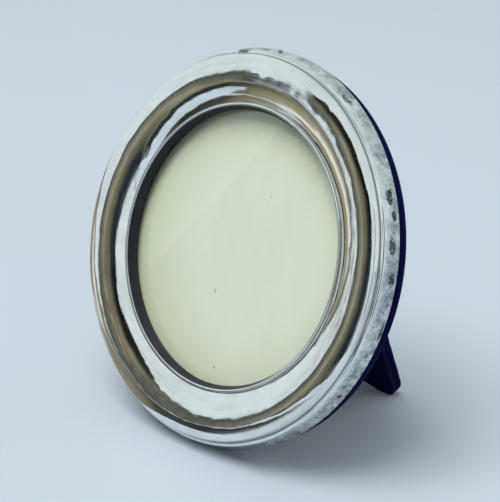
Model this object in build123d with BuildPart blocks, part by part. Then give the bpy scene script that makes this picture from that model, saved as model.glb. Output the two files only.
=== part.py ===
"""Round easel picture frame: a pressed silver front over a wooden former, with a velvet back and strut.

Millimetres, +Z up. The frame faces -Y and leans back. Its rim meets the floor at the origin,
and the strut's two toes stand on the floor behind it.
"""

import os
from math import atan2, cos, degrees, hypot, radians, sin

from build123d import *

os.makedirs("parts", exist_ok=True)

# Stance
lean_angle = 19.0  # the face leans back from upright, degrees
strut_opening = 37.3  # strut to back, when it stands open, degrees

# Pressed silver front: bands counted inwards from the skirt's edge, and heights over the rim plane
frame_radius = 50.8
silver_wall = 0.35
skirt_depth = 3.85
skirt_flare = 1.2
rim_height = 0.5
rim_rounding = 0.8
rim_width = 0.9
quirk_height = 0.8  # of the crease between the rim and the moulding
moulding_width = 12.2
crest_inset = 2.9
crest_height = 1.9
lip_height = 0.12
bead_width = 0.95
bead_height = 0.5
flange_run = 0.85
aperture_depth = 1.6

# Turned wooden former behind the silver
seat_gap = 0.2
sight_setback = 0.6  # sight edge outside the silver's aperture
sight_chamfer = 0.3  # foot of the chamfer behind the silver's aperture
rebate_width = 3.1
rebate_depth = 0.65

# Glass, picture paper and backing card
edge_gap = 0.4  # round the glass and the card
paper_trim = 0.2  # the paper's edge inside the glass's
glass_thickness = 1.0
paper_thickness = 0.3
card_thickness = 1.0

# Velvet covered back: a fixed ring, and a loose round panel inside it
velvet = 0.5
ring_inset = 1.0  # the ring's edge inside the silver's
ring_shoulder = 0.8  # the ring's bore outside the glass rebate
ring_rounding = 0.8
panel_thickness = 2.1
panel_gap = 0.3
card_gap = 0.1

# Brads from the ring into the former, and pins through the skirt
brad_count = 6
brad_radius = 0.5
brad_length = 5.2
skirt_pin_count = 6
skirt_pin_radius = 0.35
skirt_pin_head_radius = 0.6
skirt_pin_head_height = 0.25
skirt_pin_length = 2.6
skirt_pin_inset = 1.25  # from the skirt's rear edge
skirt_pin_stand = 0.2  # the flat of the head over the round skirt
nail_gap = 0.05
head_taper = 30.0  # sides of the pin heads, degrees

# Butt hinge of the strut
hinge_margin = 0.9  # from the leaf to the panel's edge
hinge_length = 16.0
knuckle_radius = 1.5
knuckle_middle = 5.4
knuckle_gap = 0.3
hinge_pin_radius = 0.6
hinge_pin_head = 0.4
running_clearance = 0.05
leaf_thickness = 0.7
leaf_height = 9.0
leaf_relief = 0.5
back_clearance = 0.4  # folded strut leaf to the velvet back

# Rivets of both hinge leaves
rivet_radius = 0.6
rivet_head_radius = 1.3
rivet_head_height = 0.6
rivet_head_rounding = 0.48
rivet_spacing = 10.0
rivet_drop = 6.0
rivet_cover = 0.3  # of the panel's board in front of a rivet's end

# Strut: a flat tongue with ears beside the hinge and an arched foot with two toes
strut_thickness = 3.5
strut_velvet_wall = 0.45
ear_width = 7.15  # of the strut beside the hinge, at its top
strut_foot_width = 43.8
strut_shoulder_rounding = 5.0
strut_arch_rise = 4.0
toe_rounding = 4.0
toe_overrun = 1.2  # how far the toes are drawn past the floor before they are cut flat
ear_gap = 0.3
stop_gap = 0.08

# Turn buttons that hold the panel in the ring
upper_button_angle = 42.0  # above the frame's centre, degrees
lower_button_angle = 18.0  # below the frame's centre, degrees
button_thickness = 0.8
button_hub_radius = 2.6
button_tip_radius = 1.7
button_hold = 0.8  # from the panel's edge in to the middle of the tip
button_lift = 0.15
screw_radius = 0.85
screw_head_radius = 1.7
screw_head_height = 0.7
screw_head_rounding = 0.42
screw_slot_width = 0.4
screw_slot_depth = 0.35
screw_slot_turn = 30.0  # degrees
screw_length = 3.2

# Radii of the silver's bands, from the skirt in to the sight opening
rim_radius = frame_radius - skirt_flare
quirk_radius = rim_radius - rim_width
crest_radius = quirk_radius - crest_inset
lip_radius = quirk_radius - moulding_width
bead_radius = lip_radius - bead_width / 2
flange_radius = lip_radius - bead_width
aperture_radius = flange_radius - flange_run

# Radii of the pieces behind the silver
sight_radius = aperture_radius + sight_setback
rebate_radius = sight_radius + rebate_width
glass_radius = rebate_radius - edge_gap
ring_radius = frame_radius - ring_inset
ring_bore_radius = rebate_radius + ring_shoulder
ring_middle = (ring_radius + ring_bore_radius) / 2
panel_radius = ring_bore_radius - panel_gap

# Depths behind the rim plane, from the glass to the velvet's back
glass_depth = skirt_depth - rebate_depth
paper_depth = glass_depth + glass_thickness
card_depth = paper_depth + paper_thickness
panel_front = card_depth + card_thickness + card_gap
board_depth = panel_front + panel_thickness
back_depth = board_depth + velvet

# Directions of the leaning face, and its centre over the rim's place on the floor
lean_sin = sin(radians(lean_angle))
lean_cos = cos(radians(lean_angle))
front = Vector(0, -lean_cos, lean_sin)
upward = Vector(0, lean_sin, lean_cos)
rim_centre_radius = ring_radius - ring_rounding
rim_centre_depth = back_depth - ring_rounding
centre = upward * rim_centre_radius + front * rim_centre_depth + Vector(0, 0, ring_rounding)

# Section holds radius and height, face looks forward, back looks rearward from the velvet
section = Plane(origin=centre, x_dir=(1, 0, 0), z_dir=-upward)
face = Plane(origin=centre, x_dir=(1, 0, 0), z_dir=front)
back = Plane(origin=centre - front * back_depth, x_dir=(-1, 0, 0), z_dir=-front)
frame_axis = Axis(centre, front)


# The broad moulding falls from its crest in two arcs: a short one to the quirk, a long one to the lip
moulding_outer = (quirk_radius, quirk_height)
moulding_inner = (lip_radius, lip_height)


def fall_radius(edge_point):
    """Radius of the arc that leaves the crest level and ends at an edge of the moulding."""
    run = edge_point[0] - crest_radius
    fall = crest_height - edge_point[1]
    return (run * run + fall * fall) / (2 * fall)


def moulding_point(edge_point, inset):
    """The place under an edge of the moulding, an inset below its face."""
    radius = fall_radius(edge_point)
    share = 1 - inset / radius
    low = crest_height - radius
    return (crest_radius + (edge_point[0] - crest_radius) * share, low + (edge_point[1] - low) * share)


def moulding_arcs(inset):
    """Both arcs of the moulding, an inset below its face."""
    crest = (crest_radius, crest_height - inset)
    TangentArc(crest, moulding_point(moulding_outer, inset), tangent=(1, 0))
    TangentArc(crest, moulding_point(moulding_inner, inset), tangent=(-1, 0))


def outer_line(inset):
    """Skirt and rounded rim, an inset below the silver's face, ending at the moulding's quirk."""
    skirt_end = (frame_radius - inset, -skirt_depth)
    rim = (rim_radius - inset, rim_height - inset)
    quirk = moulding_point(moulding_outer, inset)
    FilletPolyline(skirt_end, rim, quirk, radius=rim_rounding - inset)
    return skirt_end


# The flange of the lip runs back into the frame, and its inner side lies one wall behind it
flange_slope = hypot(flange_run, aperture_depth)
flange_side = (aperture_depth / flange_slope, -flange_run / flange_slope)


def behind_flange(point, distance):
    """A point of the flange moved away from the sight opening."""
    return (point[0] + flange_side[0] * distance, point[1] + flange_side[1] * distance)


flange_top = (flange_radius, 0)
aperture_edge = (aperture_radius, -aperture_depth)

# Places of the pins through the skirt, seen from the front
skirt_pin_angles = [360 / skirt_pin_count * (index + 0.5) for index in range(skirt_pin_count)]
skirt_slope = skirt_flare / (skirt_depth + rim_height)
skirt_pin_depth = skirt_depth - skirt_pin_inset
skirt_pin_seat = frame_radius - skirt_pin_inset * skirt_slope


def skirt_pin_plane(angle, radius):
    """A plane across a skirt pin, looking out from the frame's axis."""
    outward = face.x_dir * cos(radians(angle)) + face.y_dir * sin(radians(angle))
    origin = centre + outward * radius - front * skirt_pin_depth
    return Plane(origin=origin, x_dir=front, z_dir=outward)


# Places of the brads, seen from the front
brad_angles = [360 / brad_count * index for index in range(brad_count)]
brad_places = [
    (ring_middle * cos(radians(angle)), ring_middle * sin(radians(angle))) for angle in brad_angles
]

# Silver front: sheet pressed to a skirt, a rounded rim, a broad moulding and a beaded lip
with BuildPart() as silver_front:
    with BuildSketch(section):
        with BuildLine():
            outer_end = outer_line(0)
            moulding_arcs(0)
            ThreePointArc(moulding_inner, (bead_radius, bead_height), flange_top)
            Line(flange_top, aperture_edge)
            Line(aperture_edge, behind_flange(aperture_edge, silver_wall))
            Line(behind_flange(aperture_edge, silver_wall), behind_flange(flange_top, silver_wall))
            Line(behind_flange(flange_top, silver_wall), moulding_point(moulding_inner, silver_wall))
            moulding_arcs(silver_wall)
            inner_end = outer_line(silver_wall)
            Line(inner_end, outer_end)
        make_face()
    revolve(axis=frame_axis)
    for pin_angle in skirt_pin_angles:
        with BuildSketch(skirt_pin_plane(pin_angle, skirt_pin_seat)):
            Circle(skirt_pin_radius + nail_gap)
        extrude(amount=skirt_pin_length, both=True, mode=Mode.SUBTRACT)
silver_front.part.label = "silver_front"
export_step(silver_front.part, "parts/silver_front.step")

# Former: turned wooden ring that fills the silver, with the glass rebate behind its sight edge
former_cover = silver_wall + seat_gap
former_lip = behind_flange(flange_top, former_cover)
with BuildPart() as former_ring:
    with BuildSketch(section):
        with BuildLine():
            former_end = outer_line(former_cover)
            moulding_arcs(former_cover)
            Polyline(
                moulding_point(moulding_inner, former_cover),
                former_lip,
                (sight_radius, -aperture_depth - sight_chamfer),
                (sight_radius, -glass_depth),
                (rebate_radius, -glass_depth),
                (rebate_radius, -skirt_depth),
                former_end,
            )
        make_face()
    revolve(axis=frame_axis)
    for pin_angle in skirt_pin_angles:
        with BuildSketch(skirt_pin_plane(pin_angle, skirt_pin_seat)):
            Circle(skirt_pin_radius + nail_gap)
        extrude(amount=-skirt_pin_length, mode=Mode.SUBTRACT)
    with BuildSketch(face.offset(-board_depth)):
        with Locations(*brad_places):
            Circle(brad_radius + nail_gap)
    extrude(amount=brad_length, mode=Mode.SUBTRACT)
former_ring.part.label = "former_ring"
export_step(former_ring.part, "parts/former_ring.step")

# Skirt pins: small silver nails that hold the silver to the former
with BuildPart() as skirt_pins:
    for pin_angle in skirt_pin_angles:
        under_head = skirt_pin_plane(pin_angle, skirt_pin_seat + skirt_pin_stand)
        with BuildSketch(under_head):
            Circle(skirt_pin_radius)
        extrude(amount=-skirt_pin_length)
        with BuildSketch(under_head):
            Circle(skirt_pin_head_radius)
        extrude(amount=skirt_pin_head_height, taper=head_taper)
skirt_pins.part.label = "skirt_pins"
export_step(skirt_pins.part, "parts/skirt_pins.step")

# Glass: thin picture glass against the rebate
with BuildPart() as glass:
    with BuildSketch(face.offset(-glass_depth)):
        Circle(glass_radius)
    extrude(amount=-glass_thickness)
glass.part.label = "glass"
export_step(glass.part, "parts/glass.step")

# Picture paper: the plain sheet that shows through the glass
with BuildPart() as picture_paper:
    with BuildSketch(face.offset(-paper_depth)):
        Circle(glass_radius - paper_trim)
    extrude(amount=-paper_thickness)
picture_paper.part.label = "picture_paper"
export_step(picture_paper.part, "parts/picture_paper.step")

# Backing card: packs the paper against the glass
with BuildPart() as backing_card:
    with BuildSketch(face.offset(-card_depth)):
        Circle(glass_radius)
    extrude(amount=-card_thickness)
backing_card.part.label = "backing_card"
export_step(backing_card.part, "parts/backing_card.step")

# Turn button places on the ring, in the back's own axes
button_angles = {
    "upper_right": upper_button_angle,
    "upper_left": 180 - upper_button_angle,
    "lower_left": 180 + lower_button_angle,
    "lower_right": -lower_button_angle,
}
button_places = {
    name: (-ring_middle * cos(radians(angle)), ring_middle * sin(radians(angle)))
    for name, angle in button_angles.items()
}

# Back ring board: the wooden ring that the velvet is stretched over
with BuildPart() as back_ring_board:
    with BuildSketch(face.offset(-skirt_depth)):
        Circle(ring_radius - velvet)
        Circle(ring_bore_radius + velvet, mode=Mode.SUBTRACT)
    extrude(amount=skirt_depth - board_depth)
    with BuildSketch(face.offset(-board_depth)):
        with Locations(*brad_places):
            Circle(brad_radius + nail_gap)
    extrude(amount=board_depth - skirt_depth, mode=Mode.SUBTRACT)
    with BuildSketch(back.offset(-screw_length)):
        with Locations(*button_places.values()):
            Circle(screw_radius + nail_gap)
    extrude(amount=screw_length, mode=Mode.SUBTRACT)
back_ring_board.part.label = "back_ring_board"
export_step(back_ring_board.part, "parts/back_ring_board.step")

# Back ring velvet: a channel of cloth round the board's edge, back and bore
with BuildPart() as back_ring_velvet:
    with BuildSketch(section):
        with BuildLine():
            Polyline(
                (ring_bore_radius, -skirt_depth),
                (ring_bore_radius + velvet, -skirt_depth),
                (ring_bore_radius + velvet, -board_depth),
                (ring_radius - velvet, -board_depth),
                (ring_radius - velvet, -skirt_depth),
                (ring_radius, -skirt_depth),
            )
            FilletPolyline(
                (ring_radius, -skirt_depth),
                (ring_radius, -back_depth),
                (ring_bore_radius, -back_depth),
                (ring_bore_radius, -skirt_depth),
                radius=[ring_rounding, velvet],
            )
        make_face()
    revolve(axis=frame_axis)
    with BuildSketch(back.offset(-velvet)):
        with Locations(*button_places.values()):
            Circle(screw_radius + nail_gap)
    extrude(amount=velvet, mode=Mode.SUBTRACT)
back_ring_velvet.part.label = "back_ring_velvet"
export_step(back_ring_velvet.part, "parts/back_ring_velvet.step")

# Ring brads: headless nails, under the velvet, that hold the ring to the former
with BuildPart() as ring_brads:
    with BuildSketch(face.offset(-board_depth)):
        with Locations(*brad_places):
            Circle(brad_radius)
    extrude(amount=brad_length)
ring_brads.part.label = "ring_brads"
export_step(ring_brads.part, "parts/ring_brads.step")

# Hinge line over the frame's centre, and rivet places on the panel and, below that line, on the strut
hinge_height = panel_radius - hinge_margin - leaf_height
rivet_half = rivet_spacing / 2
panel_rivet_grip = velvet + panel_thickness - rivet_cover
panel_rivet_places = [(side * rivet_half, hinge_height + rivet_drop) for side in (-1, 1)]
strut_rivet_places = [(side * rivet_half, -rivet_drop) for side in (-1, 1)]

# Back panel board: the loose disc that carries the strut
with BuildPart() as back_panel_board:
    with BuildSketch(face.offset(-panel_front)):
        Circle(panel_radius - velvet)
    extrude(amount=panel_front - board_depth)
    with BuildSketch(back.offset(-panel_rivet_grip)):
        with Locations(*panel_rivet_places):
            Circle(rivet_radius + nail_gap)
    extrude(amount=panel_rivet_grip, mode=Mode.SUBTRACT)
back_panel_board.part.label = "back_panel_board"
export_step(back_panel_board.part, "parts/back_panel_board.step")

# Back panel velvet: a cap of cloth over the panel's back and edge
with BuildPart() as back_panel_velvet:
    with BuildSketch(section):
        with BuildLine():
            FilletPolyline(
                (panel_radius, -panel_front),
                (panel_radius, -back_depth),
                (0, -back_depth),
                radius=velvet,
            )
            Polyline(
                (0, -back_depth),
                (0, -board_depth),
                (panel_radius - velvet, -board_depth),
                (panel_radius - velvet, -panel_front),
                (panel_radius, -panel_front),
            )
        make_face()
    revolve(axis=frame_axis)
    with BuildSketch(back.offset(-velvet)):
        with Locations(*panel_rivet_places):
            Circle(rivet_radius + nail_gap)
    extrude(amount=velvet, mode=Mode.SUBTRACT)
back_panel_velvet.part.label = "back_panel_velvet"
export_step(back_panel_velvet.part, "parts/back_panel_velvet.step")

# Hinge line: its pin clears the back by the folded leaf and the knuckle
hinge_lift = knuckle_radius + knuckle_gap
hinge_point = back.origin + upward * hinge_height - front * hinge_lift
strut_lean = radians(strut_opening - lean_angle)
strut_back = Vector(0, cos(strut_lean), sin(strut_lean))
hinge = Plane(origin=hinge_point, x_dir=(-1, 0, 0), z_dir=-front)
strut = Plane(origin=hinge_point, x_dir=(-1, 0, 0), z_dir=strut_back)
knuckle_ends = Plane(origin=hinge_point, x_dir=(0, 1, 0), z_dir=(1, 0, 0))
outer_knuckle_length = (hinge_length - knuckle_middle) / 2 - knuckle_gap
outer_knuckle_middle = (hinge_length - outer_knuckle_length) / 2
leaf_edge = knuckle_radius + leaf_relief

# Hinge panel leaf: brass plate on the panel, curled to the two outer knuckles
with BuildPart() as hinge_panel_leaf:
    with BuildSketch(hinge.offset(-hinge_lift)):
        with Locations((0, (leaf_edge + leaf_height) / 2)):
            Rectangle(hinge_length, leaf_height - leaf_edge)
        with Locations((-outer_knuckle_middle, leaf_edge / 2), (outer_knuckle_middle, leaf_edge / 2)):
            Rectangle(outer_knuckle_length, leaf_edge)
        with Locations(*[(place[0], rivet_drop) for place in panel_rivet_places]):
            Circle(rivet_radius + nail_gap, mode=Mode.SUBTRACT)
    extrude(amount=leaf_thickness)
    for side in (-1, 1):
        with BuildSketch(knuckle_ends.offset(side * outer_knuckle_middle)):
            Circle(knuckle_radius)
        extrude(amount=outer_knuckle_length / 2, both=True)
    with BuildSketch(knuckle_ends):
        Circle(hinge_pin_radius + running_clearance)
    extrude(amount=hinge_length, both=True, mode=Mode.SUBTRACT)
hinge_panel_leaf.part.label = "hinge_panel_leaf"
export_step(hinge_panel_leaf.part, "parts/hinge_panel_leaf.step")

# Hinge pin: steel wire with its ends spread over the outer knuckles
with BuildPart() as hinge_pin:
    with BuildSketch(knuckle_ends):
        Circle(hinge_pin_radius)
    extrude(amount=hinge_length / 2 + running_clearance, both=True)
    for side in (-1, 1):
        with BuildSketch(knuckle_ends.offset(side * (hinge_length / 2 + running_clearance))):
            Circle(hinge_pin_radius + hinge_pin_head)
        extrude(amount=side * hinge_pin_head, taper=head_taper)
hinge_pin.part.label = "hinge_pin"
export_step(hinge_pin.part, "parts/hinge_pin.step")

# Panel rivets: domed brass heads on the leaf, shanks in the panel
with BuildPart() as panel_rivets:
    with BuildSketch(back.offset(-panel_rivet_grip)):
        with Locations(*panel_rivet_places):
            Circle(rivet_radius)
    extrude(amount=panel_rivet_grip + leaf_thickness)
    with BuildSketch(back.offset(leaf_thickness)):
        with Locations(*panel_rivet_places):
            Circle(rivet_head_radius)
    extrude(amount=rivet_head_height)
    rivet_crowns = panel_rivets.faces().sort_by(Axis(centre, -front))[-len(panel_rivet_places):]
    fillet(rivet_crowns.edges(), rivet_head_rounding)
panel_rivets.part.label = "panel_rivets"
export_step(panel_rivets.part, "parts/panel_rivets.step")

# Strut levels across its thickness, counted rearward from the hinge line
strut_leaf_front = back_clearance - hinge_lift
strut_front = strut_leaf_front + leaf_thickness
strut_rear = strut_front + strut_thickness
opening_sin = sin(radians(strut_opening))
opening_cos = cos(radians(strut_opening))
ear_rise = (hinge_lift + strut_front * opening_cos - stop_gap) / opening_sin
floor_drop = (hinge_point.Z + strut_rear * sin(strut_lean)) / cos(strut_lean)
toe_drop = floor_drop + toe_overrun
ear_inner = hinge_length / 2 + ear_gap + hinge_pin_head + running_clearance
notch_drop = knuckle_radius + leaf_relief


def strut_outline():
    """Outline of the strut: ears, a notch between them for the hinge, straight sides and an arched foot."""
    top_half = ear_inner + ear_width
    foot_half = strut_foot_width / 2
    Polyline(
        (-foot_half, -toe_drop),
        (-top_half, ear_rise),
        (-ear_inner, ear_rise),
        (-ear_inner, -notch_drop),
        (ear_inner, -notch_drop),
        (ear_inner, ear_rise),
        (top_half, ear_rise),
        (foot_half, -toe_drop),
    )
    ThreePointArc((-foot_half, -toe_drop), (0, strut_arch_rise - toe_drop), (foot_half, -toe_drop))


# Strut board: the wooden tongue inside the velvet
with BuildPart() as strut_board:
    with BuildSketch(strut.offset(strut_front + strut_velvet_wall)) as board_outline:
        with BuildLine():
            strut_outline()
        make_face()
        fillet(board_outline.vertices().group_by(Axis.Y)[0], toe_rounding)
        ear_corners = board_outline.vertices().group_by(Axis.Y)[-1].sort_by(Axis.X)
        fillet([ear_corners[0], ear_corners[-1]], strut_shoulder_rounding)
        offset(amount=-strut_velvet_wall, mode=Mode.REPLACE)
    extrude(amount=strut_thickness - 2 * strut_velvet_wall)
    split(bisect_by=Plane.XY.offset(strut_velvet_wall), keep=Keep.TOP)
    with BuildSketch(strut.offset(strut_front)):
        with Locations(*strut_rivet_places):
            Circle(rivet_radius + nail_gap)
    extrude(amount=strut_thickness, mode=Mode.SUBTRACT)
strut_board.part.label = "strut_board"
export_step(strut_board.part, "parts/strut_board.step")

# Strut velvet: cloth glued all round the tongue, with the toes' undersides flat on the floor
with BuildPart() as strut_velvet:
    with BuildSketch(strut.offset(strut_front)) as velvet_outline:
        with BuildLine():
            strut_outline()
        make_face()
        fillet(velvet_outline.vertices().group_by(Axis.Y)[0], toe_rounding)
        ear_corners = velvet_outline.vertices().group_by(Axis.Y)[-1].sort_by(Axis.X)
        fillet([ear_corners[0], ear_corners[-1]], strut_shoulder_rounding)
    extrude(amount=strut_thickness)
    split(bisect_by=Plane.XY, keep=Keep.TOP)
    add(strut_board.part, mode=Mode.SUBTRACT)
    with BuildSketch(strut.offset(strut_front)):
        with Locations(*strut_rivet_places):
            Circle(rivet_radius + nail_gap)
    extrude(amount=strut_thickness, mode=Mode.SUBTRACT)
strut_velvet.part.label = "strut_velvet"
export_step(strut_velvet.part, "parts/strut_velvet.step")

# Hinge strut leaf: brass plate on the strut's front, curled to the middle knuckle
with BuildPart() as hinge_strut_leaf:
    with BuildSketch(strut.offset(strut_leaf_front)):
        with Locations((0, -(leaf_edge + leaf_height) / 2)):
            Rectangle(hinge_length, leaf_height - leaf_edge)
        with Locations((0, -leaf_edge / 2)):
            Rectangle(knuckle_middle, leaf_edge)
        with Locations(*strut_rivet_places):
            Circle(rivet_radius + nail_gap, mode=Mode.SUBTRACT)
    extrude(amount=leaf_thickness)
    with BuildSketch(knuckle_ends):
        Circle(knuckle_radius)
    extrude(amount=knuckle_middle / 2, both=True)
    with BuildSketch(knuckle_ends):
        Circle(hinge_pin_radius + running_clearance)
    extrude(amount=knuckle_middle, both=True, mode=Mode.SUBTRACT)
hinge_strut_leaf.part.label = "hinge_strut_leaf"
export_step(hinge_strut_leaf.part, "parts/hinge_strut_leaf.step")

# Strut rivets: domed heads on the strut's rear, shanks through to the leaf's front
with BuildPart() as strut_rivets:
    with BuildSketch(strut.offset(strut_leaf_front)):
        with Locations(*strut_rivet_places):
            Circle(rivet_radius)
    extrude(amount=leaf_thickness + strut_thickness)
    with BuildSketch(strut.offset(strut_rear)):
        with Locations(*strut_rivet_places):
            Circle(rivet_head_radius)
    extrude(amount=rivet_head_height)
    rivet_crowns = strut_rivets.faces().sort_by(Axis(hinge_point, strut_back))[-len(strut_rivet_places):]
    fillet(rivet_crowns.edges(), rivet_head_rounding)
strut_rivets.part.label = "strut_rivets"
export_step(strut_rivets.part, "parts/strut_rivets.step")

# Turn buttons: brass plates that swivel on their screws and reach over the panel's edge
button_reach = ring_middle - panel_radius + button_hold
for name, (across, along) in button_places.items():
    inward = degrees(atan2(-along, -across))
    with BuildPart() as turn_button:
        with BuildSketch(back.offset(button_lift)):
            with Locations(Location((across, along, 0), (0, 0, inward))):
                with BuildSketch(mode=Mode.PRIVATE) as button_ends:
                    Circle(button_hub_radius)
                    with Locations((button_reach, 0)):
                        Circle(button_tip_radius)
                add(make_hull(button_ends.edges(), mode=Mode.PRIVATE))
                Circle(screw_radius + running_clearance, mode=Mode.SUBTRACT)
        extrude(amount=button_thickness)
    turn_button.part.label = "turn_button_" + name
    export_step(turn_button.part, "parts/turn_button_" + name + ".step")

# Turn button screws: slotted round heads over the buttons, shanks in the ring board
screw_head_level = button_lift + button_thickness + running_clearance
with BuildPart() as turn_button_screws:
    with BuildSketch(back.offset(-screw_length)):
        with Locations(*button_places.values()):
            Circle(screw_radius)
    extrude(amount=screw_length + screw_head_level)
    with BuildSketch(back.offset(screw_head_level)):
        with Locations(*button_places.values()):
            Circle(screw_head_radius)
    extrude(amount=screw_head_height)
    screw_crowns = turn_button_screws.faces().sort_by(Axis(centre, -front))[-len(button_places):]
    fillet(screw_crowns.edges(), screw_head_rounding)
    with BuildSketch(back.offset(screw_head_level + screw_head_height - screw_slot_depth)):
        with Locations(*button_places.values()):
            Rectangle(2 * screw_head_radius, screw_slot_width, rotation=screw_slot_turn)
    extrude(amount=screw_head_height, mode=Mode.SUBTRACT)
turn_button_screws.part.label = "turn_button_screws"
export_step(turn_button_screws.part, "parts/turn_button_screws.step")
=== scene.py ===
import math

import bmesh
import bpy
from mathutils import Matrix, Vector, noise


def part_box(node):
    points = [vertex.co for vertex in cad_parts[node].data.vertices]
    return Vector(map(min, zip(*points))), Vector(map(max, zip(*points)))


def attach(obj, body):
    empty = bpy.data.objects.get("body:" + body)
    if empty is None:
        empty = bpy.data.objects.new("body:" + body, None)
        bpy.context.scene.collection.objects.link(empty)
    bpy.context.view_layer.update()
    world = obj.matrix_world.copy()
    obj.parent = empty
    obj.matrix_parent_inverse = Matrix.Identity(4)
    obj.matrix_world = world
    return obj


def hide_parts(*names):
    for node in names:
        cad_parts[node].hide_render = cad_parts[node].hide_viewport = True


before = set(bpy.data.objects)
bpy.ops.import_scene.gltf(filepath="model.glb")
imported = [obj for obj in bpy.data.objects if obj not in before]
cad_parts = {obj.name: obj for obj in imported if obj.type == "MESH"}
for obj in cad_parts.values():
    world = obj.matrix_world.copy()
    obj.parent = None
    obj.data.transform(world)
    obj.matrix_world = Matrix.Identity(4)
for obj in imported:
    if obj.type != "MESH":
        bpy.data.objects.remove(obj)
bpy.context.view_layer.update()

# Silver front: one thin sheet of silver pressed to a skirt, a rounded rim, a broad moulding and a beaded lip.
# It is pinned through its skirt to the wooden former. Long polishing has left it bright, softly uneven
# and finely scratched, with dark tarnish on the skirt and at a few knocks, and with tarnish and painted shade
# in the creases; the flange behind the lip is painted near-black as shade of the recess.
mm = 0.001
lean = math.radians(19)
front = Vector((0, -math.cos(lean), math.sin(lean)))
glass_low, glass_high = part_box("glass")
glass_middle_depth = 3.7
centre = (glass_low + glass_high) / 2 + front * glass_middle_depth * mm
face_turn = math.pi / 2 - lean
face_place = Matrix.Translation(centre) @ Matrix.Rotation(face_turn, 4, "X") @ Matrix.Scale(mm, 4)

silver_wall = 0.35
skirt_edge = (50.8, -3.85)
rim_corner = (49.6, 0.5)
quirk = (48.7, 0.8)
shoulder = (48.3, 2.2)
crest = (44.6, 3.0)
lip = (36.5, 0.12)
bead_top = (36.025, 0.5)
flange_top = (35.55, 0.0)
aperture_edge = (34.7, -1.6)
cut_edge_rounding = 0.15
rim_rounding = 0.8
quirk_rounding = 0.25
shoulder_rounding = 0.45


def rounded(before, corner, after, radius, count):
    """Points of the arc that rounds a corner of a section."""
    corner = Vector(corner)
    back = (Vector(before) - corner).normalized()
    on = (Vector(after) - corner).normalized()
    half = back.angle(on) / 2
    middle = corner + (back + on).normalized() * radius / math.sin(half)
    reach = radius / math.tan(half)
    start = corner + back * reach - middle
    sweep = start.angle_signed(corner + on * reach - middle)
    return [
        tuple(middle + Matrix.Rotation(-sweep * step / (count - 1), 2) @ start) for step in range(count)
    ]


def fall(edge, inset, count):
    """Points from the moulding's crest down its arc to an edge, an inset below the face."""
    run = edge[0] - crest[0]
    drop = crest[1] - edge[1]
    radius = (run * run + drop * drop) / (2 * drop)
    end = math.asin(run / radius)
    return [
        (
            crest[0] + (radius - inset) * math.sin(end * step / (count - 1)),
            crest[1] - radius + (radius - inset) * math.cos(end * step / (count - 1)),
        )
        for step in range(count)
    ]


def bead_arc(count):
    """Points over the small bead of the lip, from the moulding to the flange."""
    (ax, ay), (bx, by), (cx, cy) = lip, bead_top, flange_top
    twice = 2 * (ax * (by - cy) + bx * (cy - ay) + cx * (ay - by))
    a, b, c = ax * ax + ay * ay, bx * bx + by * by, cx * cx + cy * cy
    x = (a * (by - cy) + b * (cy - ay) + c * (ay - by)) / twice
    y = (a * (cx - bx) + b * (ax - cx) + c * (bx - ax)) / twice
    start = Vector((ax - x, ay - y))
    sweep = start.angle_signed(Vector((cx - x, cy - y)))
    return [
        tuple(Vector((x, y)) + Matrix.Rotation(-sweep * step / (count - 1), 2) @ start)
        for step in range(count)
    ]


def flange_behind(point):
    """A point of the flange, one wall further from the sight opening."""
    run, drop = flange_top[0] - aperture_edge[0], flange_top[1] - aperture_edge[1]
    side = Vector((drop, -run)).normalized() * silver_wall
    return (point[0] + side[0], point[1] + side[1])


inner_skirt = (skirt_edge[0] - silver_wall, skirt_edge[1])
inner_rim = (rim_corner[0] - silver_wall, rim_corner[1] - silver_wall)
inner_quirk = (quirk[0] - silver_wall, quirk[1] - silver_wall)
outer_fall = fall(shoulder, 0, 28)
silver_section = (
    rounded(inner_skirt, skirt_edge, rim_corner, cut_edge_rounding, 6)
    + rounded(skirt_edge, rim_corner, quirk, rim_rounding, 14)
    + rounded(rim_corner, quirk, shoulder, quirk_rounding, 8)
    + rounded(quirk, shoulder, outer_fall[-5], shoulder_rounding, 8)
    + outer_fall[-6::-1]
    + fall(lip, 0, 44)[1:]
    + bead_arc(16)[1:]
    + rounded(flange_top, aperture_edge, flange_behind(aperture_edge), cut_edge_rounding, 6)
    + [flange_behind(aperture_edge), flange_behind(flange_top)]
    + fall(lip, silver_wall, 10)[::-1]
    + fall(shoulder, silver_wall, 8)[1:]
    + [inner_quirk, inner_rim, inner_skirt]
)


def new_tree(name, kind, inputs, outputs):
    """A node group with named sockets, its input and its output nodes."""
    tree = bpy.data.node_groups.new(name, kind)
    for label, socket, value in inputs:
        made = tree.interface.new_socket(label, in_out="INPUT", socket_type=socket)
        if value is not None:
            made.default_value = value
    for label, socket in outputs:
        tree.interface.new_socket(label, in_out="OUTPUT", socket_type=socket)
    return tree, tree.nodes.new("NodeGroupInput"), tree.nodes.new("NodeGroupOutput")


def feed(tree, node, values):
    """Gives a node its inputs, by name or number, as values or as links."""
    for name, value in values.items():
        if isinstance(value, bpy.types.NodeSocket):
            tree.links.new(value, node.inputs[name])
        else:
            node.inputs[name].default_value = value


def put(tree, kind, fixed=None, **settings):
    """A node with its settings and its inputs."""
    node = tree.nodes.new(kind)
    for name, value in settings.items():
        setattr(node, name, value)
    feed(tree, node, fixed or {})
    return node


def maths(tree, operation, *values):
    """The result of a Math node."""
    return put(tree, "ShaderNodeMath", dict(enumerate(values)), operation=operation).outputs[0]


def times(tree, first, second):
    """The product of two values."""
    return maths(tree, "MULTIPLY", first, second)


def most(tree, first, *others):
    """The largest of some values."""
    for other in others:
        first = maths(tree, "MAXIMUM", first, other)
    return first


def vectors(tree, operation, *values):
    """The vector that a Vector Math node gives."""
    return put(tree, "ShaderNodeVectorMath", dict(enumerate(values)), operation=operation).outputs[0]


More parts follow.
